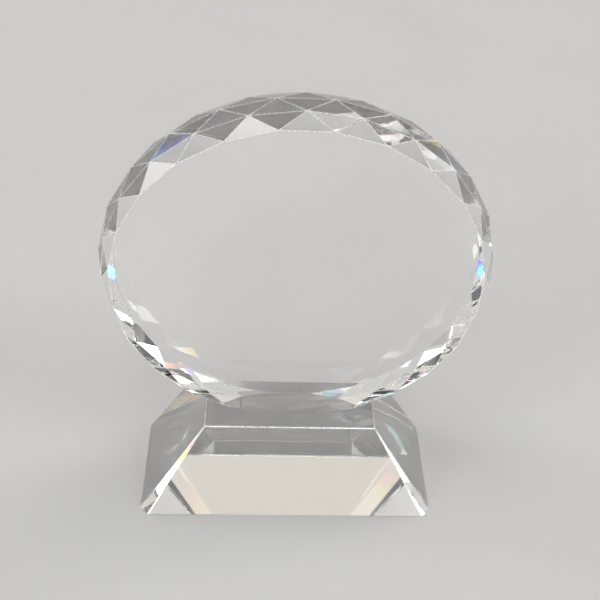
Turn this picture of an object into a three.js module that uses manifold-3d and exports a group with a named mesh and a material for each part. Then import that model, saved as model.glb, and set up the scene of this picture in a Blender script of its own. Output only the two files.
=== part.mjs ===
// Crystal award: a thick round plaque with a diamond-cut edge, bonded upright on a bevelled block.
//
// Units are millimetres and +Z is up. The origin is at the middle of the block's underside, X runs
// along the block and the plaque's front face looks along -Y.

import * as THREE from 'three';
import { ConvexGeometry } from 'three/addons/geometries/ConvexGeometry.js';
import { mergeVertices } from 'three/addons/utils/BufferGeometryUtils.js';
import Module from 'manifold-3d';

// Base block.
const BASE_WIDTH = 100;
const BASE_DEPTH = 42;
const BASE_HEIGHT = 39;
const BASE_TOP_WIDTH = 54.6;
const BASE_TOP_DEPTH = 29;
const BASE_CORNER_CUT = 4; // width of the flat ground on each upright corner, at the foot

// Plaque: five rings of corners, the middle one being the girdle.
const FACETS_AROUND = 24;
const PLAQUE_THICKNESS = 18.5;
const FACE_RADIUS = 53.4;
const SHOULDER_RADIUS = 56;
const SHOULDER_OFFSET = 4.6; // distance of each shoulder ring from the girdle's plane
const GIRDLE_RADIUS = 57.2;
const PLAQUE_CENTRE_HEIGHT = 92.1;

// Bond line between the two.
const ADHESIVE_THICKNESS = 0.1;

const wasm = await Module();
wasm.setup();

function toSolid(geometry) {
  const positions = geometry.clone();
  positions.deleteAttribute('normal');
  positions.deleteAttribute('uv');
  const merged = mergeVertices(positions);
  const mesh = new wasm.Mesh({
    numProp: 3,
    vertProperties: new Float32Array(merged.attributes.position.array),
    triVerts: new Uint32Array(merged.index.array),
  });
  return new wasm.Manifold(mesh);
}

function toGeometry(solid) {
  const mesh = solid.getMesh();
  const geometry = new THREE.BufferGeometry();
  geometry.setAttribute('position', new THREE.BufferAttribute(mesh.vertProperties, 3));
  geometry.setIndex(new THREE.BufferAttribute(mesh.triVerts, 1));
  geometry.computeVertexNormals();
  return geometry;
}

// A solid block that fills everything between two heights and is wider than the whole award.
function slab(bottom, top) {
  const reach = 2 * BASE_WIDTH;
  const box = new THREE.BoxGeometry(reach, reach, top - bottom);
  box.translate(0, 0, (bottom + top) / 2);
  return toSolid(box);
}

// One ring of plaque corners. A staggered ring is turned by half a facet.
function plaqueRing(radius, y, staggered) {
  const step = (2 * Math.PI) / FACETS_AROUND;
  const corners = [];
  for (let k = 0; k < FACETS_AROUND; k += 1) {
    const angle = (k + (staggered ? 0 : 0.5)) * step;
    const x = radius * Math.sin(angle);
    const z = PLAQUE_CENTRE_HEIGHT + radius * Math.cos(angle);
    corners.push(new THREE.Vector3(x, y, z));
  }
  return corners;
}

// The whole disc before its underside is ground flat. Every facet of its edge is a flat triangle.
function discGeometry() {
  const half = PLAQUE_THICKNESS / 2;
  return new ConvexGeometry([
    ...plaqueRing(FACE_RADIUS, -half, false),
    ...plaqueRing(SHOULDER_RADIUS, -SHOULDER_OFFSET, true),
    ...plaqueRing(GIRDLE_RADIUS, 0, false),
    ...plaqueRing(SHOULDER_RADIUS, SHOULDER_OFFSET, true),
    ...plaqueRing(FACE_RADIUS, half, false),
  ]);
}

// Four sloping sides that meet the top in sharp corners. Each upright corner is ground to a flat
// that is widest at the foot and runs out to nothing at the top.
function baseGeometry() {
  const cut = BASE_CORNER_CUT / Math.SQRT2;
  const corners = [];
  for (const sx of [-1, 1]) {
    for (const sy of [-1, 1]) {
      const x = (sx * BASE_WIDTH) / 2;
      const y = (sy * BASE_DEPTH) / 2;
      corners.push(new THREE.Vector3(x - sx * cut, y, 0));
      corners.push(new THREE.Vector3(x, y - sy * cut, 0));
      corners.push(new THREE.Vector3((sx * BASE_TOP_WIDTH) / 2, (sy * BASE_TOP_DEPTH) / 2, BASE_HEIGHT));
    }
  }
  return new ConvexGeometry(corners);
}

function crystal() {
  return new THREE.MeshStandardMaterial({
    color: 0xf2f5f4,
    roughness: 0.02,
    metalness: 0,
    transparent: true,
    opacity: 0.35,
  });
}

function clearAdhesive() {
  return new THREE.MeshStandardMaterial({
    color: 0xe4e8e6,
    roughness: 0.15,
    metalness: 0,
    transparent: true,
    opacity: 0.35,
  });
}

function part(name, geometry, material) {
  const mesh = new THREE.Mesh(geometry, material);
  mesh.name = name;
  return mesh;
}

const disc = toSolid(discGeometry());
const bondTop = BASE_HEIGHT + ADHESIVE_THICKNESS;
const plaqueSolid = disc.subtract(slab(0, bondTop));
const adhesiveSolid = disc.intersect(slab(BASE_HEIGHT, bondTop));

const award = new THREE.Group();
award.add(part('base_block', baseGeometry(), crystal()));
award.add(part('adhesive_film', toGeometry(adhesiveSolid), clearAdhesive()));
award.add(part('faceted_plaque', toGeometry(plaqueSolid), crystal()));

export default award;
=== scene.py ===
"""Crystal award: a faceted round plaque bonded upright on a bevelled block, in clear optical crystal."""

from math import cos, radians, sin, tan

import bmesh
import bpy
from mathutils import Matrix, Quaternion, Vector
from mathutils.geometry import delaunay_2d_cdt


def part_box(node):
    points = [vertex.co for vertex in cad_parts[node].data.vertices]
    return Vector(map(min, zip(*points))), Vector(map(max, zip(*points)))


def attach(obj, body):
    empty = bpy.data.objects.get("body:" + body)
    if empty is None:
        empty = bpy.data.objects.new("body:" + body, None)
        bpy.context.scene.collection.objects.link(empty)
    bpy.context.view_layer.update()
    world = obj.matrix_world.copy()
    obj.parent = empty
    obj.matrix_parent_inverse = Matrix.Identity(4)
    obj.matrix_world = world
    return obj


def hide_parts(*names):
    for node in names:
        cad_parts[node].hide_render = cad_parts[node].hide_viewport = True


MM = 0.001

# Camera. Azimuth and elevation are about the award's own axes, the aim point is in its frame.
# The lens is assumed and the elevation was chosen. The rest was fitted to the photo with them.
CAMERA_AZIMUTH = radians(-3.74)
CAMERA_ELEVATION = radians(42)
CAMERA_ROLL = radians(3.64)
CAMERA_DISTANCE = 284.8 * MM
CAMERA_AIM = Vector((2.2, 10.3, 71.6)) * MM
CAMERA_LENS = 54.06
CAMERA_SENSOR = 36
CAMERA_NEAR = 10 * MM

# Places of the crystal's materials in its list.
POLISHED, ARRIS, BONDED = range(3)

# Width of the narrow flat that is ground along each edge.
PLAQUE_ARRIS = 0.22 * MM
BASE_ARRIS = 0.36 * MM

# How close counts as the same place, and how nearly in line counts as the same facet.
TOUCH = 0.0005 * MM
CUT_TOUCH = TOUCH / 100
SAME_FACET = radians(0.05)

# Settings of the division of a flat face: triangles inside the outlines only, and its tolerance.
INSIDE_OUTLINES = 1
DIVISION_TOUCH = 1e-9

CRYSTAL_INDEX = 1.518

# A random pattern: the roughness of its detail, and the band of its values that is spread out.
PATTERN_ROUGHNESS = 0.55
MIDDLE_BAND = (0.35, 0.65)
UPPER_BAND = (0.52, 0.75)

# Detail on the polished faces. Only the upper band of the pattern is smudged.
CLEAR = (1, 1, 1, 1)
SMUDGE_SIZE = 14 * MM
SMUDGE_DETAIL = 4.0
SMUDGE_ROUGHNESS = (0.0, 0.06)
WAVE_SIZE = 25 * MM
WAVE_HEIGHT = 0.02 * MM
WAVE_STRENGTH = 1.0

# The finely ground flats along the edges.
EDGE_COLOUR = (0.97, 0.98, 1.0, 1)
EDGE_CLARITY = 0.7
GRIND_SIZE = 0.4 * MM
GRIND_ROUGHNESS = (0.12, 0.5)
GRIND_HEIGHT = 0.03 * MM
GRIND_STRENGTH = 0.3

# The adhesive film's haze. Its cover is the share of the light that meets it.
HAZE_COLOUR = (0.42, 0.42, 0.41, 1)
HAZE_INDEX = 1.1
HAZE_CLARITY = 0.3
HAZE_PATCH_SIZE = 5 * MM
HAZE_DETAIL = 3.0
HAZE_ROUGHNESS = (0.6, 0.8)
HAZE_COVER = (0.78, 0.85)

FLOOR_SIZE = 8.0
FLOOR_DROP = 0.02 * MM
FLOOR_COLOUR = (0.395, 0.395, 0.4, 1)
FLOOR_LIGHTER_COLOUR = (0.405, 0.405, 0.405, 1)
FLOOR_ROUGHNESS = 0.6
FLOOR_MOTTLE_SIZE = 120 * MM
FLOOR_MOTTLE_DETAIL = 4.0
FLOOR_GRAIN_SIZE = 1.2 * MM
FLOOR_GRAIN_HEIGHT = 0.05 * MM
FLOOR_GRAIN_STRENGTH = 0.2

# Studio light, as seen from the award: how bright the room is at each height, then round soft boxes.
# Heights are the sine of the angle above the horizon.
ROOM = [
    (-1.0, (0.20, 0.20, 0.20)),
    (0.00, (0.60, 0.59, 0.57)),
    (0.29, (0.66, 0.65, 0.62)),
    (0.34, (0.13, 0.13, 0.14)),
    (0.58, (0.13, 0.13, 0.14)),
    (0.66, (0.70, 0.66, 0.59)),
    (0.96, (0.74, 0.71, 0.65)),
    (1.0, (0.45, 0.45, 0.45)),
]
# Azimuth (0 is behind the award, 90 to its right), elevation, half angle, colour and strength.
# The angles are in degrees.
SOFT_BOXES = [
    (-80, 26, 14, (1.0, 1.0, 1.0), 4.5),
    (72, 30, 12, (1.0, 0.97, 0.90), 5.0),
    (-16, 26, 7, (1.0, 0.99, 0.97), 2.0),
    (158, 14, 9, (1.0, 1.0, 1.0), 2.5),
    (-128, 34, 9, (0.96, 0.98, 1.0), 7.0),
    (-168, 38, 9, (1.0, 0.99, 0.96), 7.0),
    (122, 46, 9, (1.0, 0.98, 0.93), 7.0),
    (-150, 8, 7, (1.0, 0.98, 0.95), 2.5),
    (60, 76, 8, (1.0, 0.99, 0.96), 6.0),
    (-105, 68, 8, (1.0, 0.98, 0.94), 5.5),
    (175, 66, 8, (1.0, 1.0, 1.0), 5.0),
]
# Width of each soft box's faded border, in degrees.
SOFT_BORDER = 1
# How far a soft box's red and blue discs lie from its green one, in degrees of azimuth and of
# elevation. The coloured borders stand in for the way that real crystal spreads colours.
COLOUR_SPREAD = 0.7
# What the camera sees behind the floor.
BACKDROP = (0.62, 0.61, 0.59, 1)

# How many times light may bounce, or pass through a surface.
THROUGH_BOUNCES = 24
GLOSSY_BOUNCES = 12

# Sockets of a colour Mix node, whose inputs for each type of value share their names.
MIX_FACTOR, MIX_FIRST, MIX_SECOND = 0, 6, 7
MIX_RESULT = 2


# ---------------------------------------------------------------- node helpers


def new_material(name):
    material = bpy.data.materials.new(name)
    material.use_nodes = True
    material.node_tree.nodes.clear()
    return material


def add(tree, kind, inputs=None, **settings):
    """Adds a node. An input's value is a plain value, or another node's output to link."""
    node = tree.nodes.new(kind)
    for key, value in settings.items():
        setattr(node, key, value)
    for key, value in (inputs or {}).items():
        if isinstance(value, bpy.types.NodeSocket):
            tree.links.new(value, node.inputs[key])
        else:
            node.inputs[key].default_value = value
    return node


def finish_surface(tree, socket):
    add(tree, "ShaderNodeOutputMaterial", {"Surface": socket})


def noise(tree, place, size, detail=2.0, values=(0.0, 1.0), band=MIDDLE_BAND):
    """A soft random pattern with features of about this size, whose band is spread over the values."""
    pattern = add(
        tree,
        "ShaderNodeTexNoise",
        {"Vector": place, "Scale": 1 / size, "Detail": detail, "Roughness": PATTERN_ROUGHNESS},
    )
    spread = add(
        tree,
        "ShaderNodeMapRange",
        {
            "Value": pattern.outputs["Fac"],
            "From Min": band[0],
            "From Max": band[1],
            "To Min": values[0],
            "To Max": values[1],
        },
    )
    return spread.outputs[0]


def bump(tree, height, strength, distance):
    node = add(tree, "ShaderNodeBump", {"Height": height, "Strength": strength, "Distance": distance})
    return node.outputs[0]


def mix_colours(tree, factor, first, second, blend="MIX"):
    node = add(
        tree,
        "ShaderNodeMix",
        {MIX_FACTOR: factor, MIX_FIRST: first, MIX_SECOND: second},
        data_type="RGBA",
        blend_type=blend,
    )
    return node.outputs[MIX_RESULT]


# ---------------------------------------------------------------- materials


def polished_material():
    """Hand-polished optical crystal: clear and sharp, with a faint waviness and a few dull smudges."""
    material = new_material("polished_crystal")
    tree = material.node_tree
    place = add(tree, "ShaderNodeTexCoord").outputs["Object"]
    smudges = noise(tree, place, SMUDGE_SIZE, SMUDGE_DETAIL, SMUDGE_ROUGHNESS, UPPER_BAND)
    waves = noise(tree, place, WAVE_SIZE)
    shader = add(
        tree,
        "ShaderNodeBsdfPrincipled",
        {
            "Base Color": CLEAR,
            "Roughness": smudges,
            "IOR": CRYSTAL_INDEX,
            "Transmission Weight": 1.0,
            "Normal": bump(tree, waves, WAVE_STRENGTH, WAVE_HEIGHT),
        },
    )
    finish_surface(tree, shader.outputs[0])
    return material


def edge_material():
    """The narrow flats along the edges: finely ground, so that they catch light from all round."""
    material = new_material("ground_edge")
    tree = material.node_tree
    place = add(tree, "ShaderNodeTexCoord").outputs["Object"]
    grind = noise(tree, place, GRIND_SIZE, values=GRIND_ROUGHNESS)
    grain = noise(tree, place, GRIND_SIZE)
    shader = add(
        tree,
        "ShaderNodeBsdfPrincipled",
        {
            "Base Color": EDGE_COLOUR,
            "Roughness": grind,
            "IOR": CRYSTAL_INDEX,
            "Transmission Weight": EDGE_CLARITY,
            "Normal": bump(tree, grain, GRIND_STRENGTH, GRIND_HEIGHT),
        },
    )
    finish_surface(tree, shader.outputs[0])
    return material


def bonded_material():
    """A face that the adhesive wets, so that light crosses it without bending."""
    material = new_material("bonded_face")
    shader = add(material.node_tree, "ShaderNodeBsdfTransparent", {"Color": CLEAR})
    finish_surface(material.node_tree, shader.outputs[0])
    return material


def adhesive_material():
    """Cured clear adhesive over a finely ground foot: an even grey haze that lets some light through."""
    material = new_material("clear_adhesive")
    tree = material.node_tree
    place = add(tree, "ShaderNodeTexCoord").outputs["Object"]
    clear = add(tree, "ShaderNodeBsdfTransparent", {"Color": CLEAR})
    haze = add(
        tree,
        "ShaderNodeBsdfPrincipled",
        {
            "Base Color": HAZE_COLOUR,
            "Roughness": noise(tree, place, HAZE_PATCH_SIZE, HAZE_DETAIL, HAZE_ROUGHNESS),
            "IOR": HAZE_INDEX,
            "Transmission Weight": HAZE_CLARITY,
        },
    )
    cover = noise(tree, place, HAZE_PATCH_SIZE, HAZE_DETAIL, HAZE_COVER)
    mixed = add(tree, "ShaderNodeMixShader", {0: cover, 1: clear.outputs[0], 2: haze.outputs[0]})
    finish_surface(tree, mixed.outputs[0])
    return material


# ---------------------------------------------------------------- solids


def facets_of(node):
    """A bmesh of a CAD node with its triangles merged back into whole flat facets."""
    mesh = bmesh.new()
    mesh.from_mesh(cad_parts[node].data)
    bmesh.ops.remove_doubles(mesh, verts=mesh.verts, dist=TOUCH)
    bmesh.ops.dissolve_limit(mesh, angle_limit=SAME_FACET, verts=mesh.verts, edges=mesh.edges)
    return mesh


def is_level(face, height):
    return all(abs(v.co.z - height) < TOUCH for v in face.verts)


def touches_level(edge, height):
    return any(abs(v.co.z - height) < TOUCH for v in edge.verts)


def grind_edges(mesh, width, bond_height=None):
    """Cuts a narrow flat of this width along each edge, apart from those that reach the bond height."""
    cuts = []
    for edge in mesh.edges:
        if bond_height is not None and touches_level(edge, bond_height):
            continue
        first, second = (face.normal for face in edge.link_faces)
        bisector = (first + second).normalized()
        depth = width / 2 * tan(first.angle(second) / 2)
        cuts.append((edge.verts[0].co - bisector * depth, bisector))
    for point, normal in cuts:
        everything = [*mesh.verts, *mesh.edges, *mesh.faces]
        cut = bmesh.ops.bisect_plane(
            mesh,
            geom=everything,
            plane_co=point,
            plane_no=normal,
            dist=CUT_TOUCH,
            clear_outer=True,
        )["geom_cut"]
        rim = [g for g in cut if isinstance(g, bmesh.types.BMEdge)]
        if len(rim) > 2:
            for face in bmesh.ops.contextual_create(mesh, geom=rim)["faces"]:
                face.material_index = ARRIS
    bmesh.ops.remove_doubles(mesh, verts=mesh.verts, dist=TOUCH)
    mesh.normal_update()


def to_object(name, mesh, materials):
    data = bpy.data.meshes.new(name)
    mesh.to_mesh(data)
    mesh.free()
    for material in materials:
        data.materials.append(material)
    piece = bpy.data.objects.new(name, data)
    bpy.context.scene.collection.objects.link(piece)
    return piece


def make_plaque(materials):
    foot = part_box("faceted_plaque")[0].z
    mesh = facets_of("faceted_plaque")
    for face in mesh.faces:
        if is_level(face, foot):
            face.material_index = BONDED
    grind_edges(mesh, PLAQUE_ARRIS, foot)
    return to_object("plaque_crystal", mesh, materials)


def inside(point, outline):
    """Whether a 2-D point lies inside a closed outline."""
    crossings = 0
    for a, b in zip(outline, outline[1:] + outline[:1]):
        if (a.y > point.y) != (b.y > point.y):
            x = a.x + (b.x - a.x) * (point.y - a.y) / (b.y - a.y)
            crossings += point.x < x
    return crossings % 2 == 1


def loop_edges(start, count):
    """Pairs of neighbours around a closed loop of points, numbered from start."""
    return [(start + i, start + (i + 1) % count) for i in range(count)]


def mark_bond(mesh, face, outline):
    """Divides the level top face of the block along the adhesive's outline."""
    height = face.verts[0].co.z
    rim = list(face.verts)
    rim_points = [v.co.xy for v in rim]
    edges = loop_edges(0, len(rim)) + loop_edges(len(rim), len(outline))
    bmesh.ops.delete(mesh, geom=[face], context="FACES_ONLY")
    points, _, triangles, sources, _, _ = delaunay_2d_cdt(
        rim_points + outline, edges, [], INSIDE_OUTLINES, DIVISION_TOUCH
    )
    corners = []
    for point, source in zip(points, sources):
        old = [i for i in source if i < len(rim)]
        corners.append(rim[old[0]] if old else mesh.verts.new((*point, height)))
    for triangle in triangles:
        new = mesh.faces.new([corners[i] for i in triangle])
        centre = sum((points[i] for i in triangle), Vector((0, 0))) / len(triangle)
        new.material_index = BONDED if inside(centre, outline) else POLISHED
    bmesh.ops.recalc_face_normals(mesh, faces=mesh.faces)


def bond_outline():
    """The corners of the adhesive's lower face, in order, as 2-D points."""
    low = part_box("adhesive_film")[0].z
    mesh = facets_of("adhesive_film")
    face = next(f for f in mesh.faces if is_level(f, low))
    outline = [v.co.xy for v in face.verts]
    mesh.free()
    return outline


def make_base(materials):
    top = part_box("base_block")[1].z
    mesh = facets_of("base_block")
    grind_edges(mesh, BASE_ARRIS)
    face = next(f for f in mesh.faces if is_level(f, top))
    mark_bond(mesh, face, bond_outline())
    return to_object("base_crystal", mesh, materials)


# ---------------------------------------------------------------- stage


def floor_material():
    """A plain pale surface with a faint mottle and a fine grain."""
    material = new_material("pale_floor")
    tree = material.node_tree
    place = add(tree, "ShaderNodeTexCoord").outputs["Object"]
    mottle = noise(tree, place, FLOOR_MOTTLE_SIZE, FLOOR_MOTTLE_DETAIL)
    grain = noise(tree, place, FLOOR_GRAIN_SIZE)
    shader = add(
        tree,
        "ShaderNodeBsdfPrincipled",
        {
            "Base Color": mix_colours(tree, mottle, FLOOR_COLOUR, FLOOR_LIGHTER_COLOUR),
            "Roughness": FLOOR_ROUGHNESS,
            "Normal": bump(tree, grain, FLOOR_GRAIN_STRENGTH, FLOOR_GRAIN_HEIGHT),
        },
    )
    finish_surface(tree, shader.outputs[0])
    return material


def make_floor():
    half = FLOOR_SIZE / 2
    corners = [(-half, -half), (half, -half), (half, half), (-half, half)]
    data = bpy.data.meshes.new("floor")
    data.from_pydata([(x, y, -FLOOR_DROP) for x, y in corners], [], [(0, 1, 2, 3)])
    data.materials.append(floor_material())
    floor = bpy.data.objects.new("floor", data)
    bpy.context.scene.collection.objects.link(floor)


def direction(azimuth, elevation):
    """The unit vector towards a place in the room, from angles in degrees."""
    a, e = radians(azimuth), radians(elevation)
    return Vector((sin(a) * cos(e), cos(a) * cos(e), sin(e)))


def room_light(tree, ray):
    """The room's brightness, which changes with height only."""
    height = add(tree, "ShaderNodeSeparateXYZ", {0: ray}).outputs["Z"]
    along = add(tree, "ShaderNodeMapRange", {"Value": height, "From Min": -1.0, "From Max": 1.0})
    ramp = add(tree, "ShaderNodeValToRGB", {0: along.outputs[0]})
    stops = ramp.color_ramp.elements
    while len(stops) < len(ROOM):
        stops.new(0.5)
    for stop, (at, colour) in zip(stops, ROOM):
        stop.position = (at + 1) / 2
        stop.color = (*colour, 1)
    return ramp.outputs[0]


def light_disc(tree, ray, centre, half_angle, strength):
    """A round patch of light of one colour channel, faded at its border."""
    facing = add(tree, "ShaderNodeVectorMath", {0: ray, 1: centre}, operation="DOT_PRODUCT")
    lit = add(
        tree,
        "ShaderNodeMapRange",
        {
            "Value": facing.outputs["Value"],
            "From Min": cos(radians(half_angle + SOFT_BORDER)),
            "From Max": cos(radians(half_angle)),
            "To Max": strength,
        },
    )
    return lit.outputs[0]


def soft_box(tree, ray, azimuth, elevation, half_angle, colour, strength):
    """One soft box, made of a red, a green and a blue disc that lie slightly apart."""
    discs = []
    for shift, channel in zip((-COLOUR_SPREAD, 0, COLOUR_SPREAD), colour):
        centre = direction(azimuth + shift, elevation + shift)
        discs.append(light_disc(tree, ray, centre, half_angle, channel * strength))
    return add(tree, "ShaderNodeCombineColor", dict(enumerate(discs))).outputs[0]


def make_light():
    world = bpy.data.worlds.new("studio")
    bpy.context.scene.world = world
    world.use_nodes = True
    tree = world.node_tree
    tree.nodes.clear()
    ray = add(tree, "ShaderNodeTexCoord").outputs["Generated"]
    light = room_light(tree, ray)
    for settings in SOFT_BOXES:
        light = mix_colours(tree, 1.0, light, soft_box(tree, ray, *settings), blend="ADD")
    from_camera = add(tree, "ShaderNodeLightPath").outputs["Is Camera Ray"]
    seen = mix_colours(tree, from_camera, light, BACKDROP)
    background = add(tree, "ShaderNodeBackground", {"Color": seen, "Strength": 1.0})
    add(tree, "ShaderNodeOutputWorld", {"Surface": background.outputs[0]})


def make_camera():
    flat = cos(CAMERA_ELEVATION)
    back = Vector((sin(CAMERA_AZIMUTH) * flat, -cos(CAMERA_AZIMUTH) * flat, sin(CAMERA_ELEVATION)))
    camera = bpy.data.objects.new("camera", bpy.data.cameras.new("camera"))
    camera.data.sensor_width = CAMERA_SENSOR
    camera.data.lens = CAMERA_LENS
    camera.data.clip_start = CAMERA_NEAR
    camera.rotation_mode = "QUATERNION"
    camera.location = CAMERA_AIM + back * CAMERA_DISTANCE
    camera.rotation_quaternion = back.to_track_quat("Z", "Y") @ Quaternion((0, 0, 1), CAMERA_ROLL)
    bpy.context.scene.collection.objects.link(camera)
    bpy.context.scene.camera = camera


# ---------------------------------------------------------------- the scene

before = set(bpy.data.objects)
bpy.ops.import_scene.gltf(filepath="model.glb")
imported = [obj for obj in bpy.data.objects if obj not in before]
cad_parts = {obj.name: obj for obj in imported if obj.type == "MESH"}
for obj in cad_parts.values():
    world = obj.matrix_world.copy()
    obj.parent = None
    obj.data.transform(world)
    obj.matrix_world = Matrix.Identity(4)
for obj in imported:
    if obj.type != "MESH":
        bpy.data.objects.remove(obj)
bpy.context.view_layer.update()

polished = polished_material()
arris = edge_material()
bonded = bonded_material()

plaque = make_plaque([polished, arris, bonded])
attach(plaque, "root")
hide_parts("faceted_plaque")

base = make_base([polished, arris, bonded])
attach(base, "root")
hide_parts("base_block")

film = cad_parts["adhesive_film"]
film.data.materials.clear()
film.data.materials.append(adhesive_material())

make_floor()
make_light()
make_camera()

scene = bpy.context.scene
scene.view_settings.view_transform = "Standard"
scene.cycles.max_bounces = THROUGH_BOUNCES
scene.cycles.transmission_bounces = THROUGH_BOUNCES
scene.cycles.transparent_max_bounces = THROUGH_BOUNCES
scene.cycles.glossy_bounces = GLOSSY_BOUNCES
